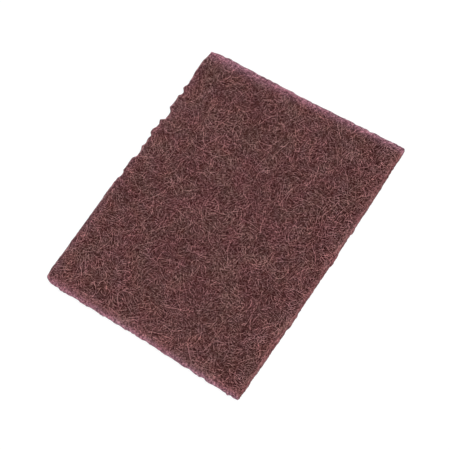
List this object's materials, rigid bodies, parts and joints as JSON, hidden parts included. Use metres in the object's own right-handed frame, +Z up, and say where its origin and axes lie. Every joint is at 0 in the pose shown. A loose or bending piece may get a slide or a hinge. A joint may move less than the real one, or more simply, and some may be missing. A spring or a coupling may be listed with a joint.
{
  "type": "abrasive hand pad",
  "caption": "Rectangular non-woven abrasive hand pad in maroon, a flexible web of bonded fibres for scuffing and cleaning surfaces by hand.",
  "frame": {"origin": "middle of the pad's outline, on the surface that it lies on", "axes": "+X along the length, +Y across the width towards the torn side, +Z up through the thickness"},
  "size_m": [0.151, 0.1182, 0.0065],
  "materials": {
    "abrasive_web": "matt non-woven fibre web bonded with resin and fine abrasive grain, maroon with lighter rosy cut edges"
  },
  "bodies": {
    "root": {"pad": "abrasive_web"}
  },
  "joints": []
}
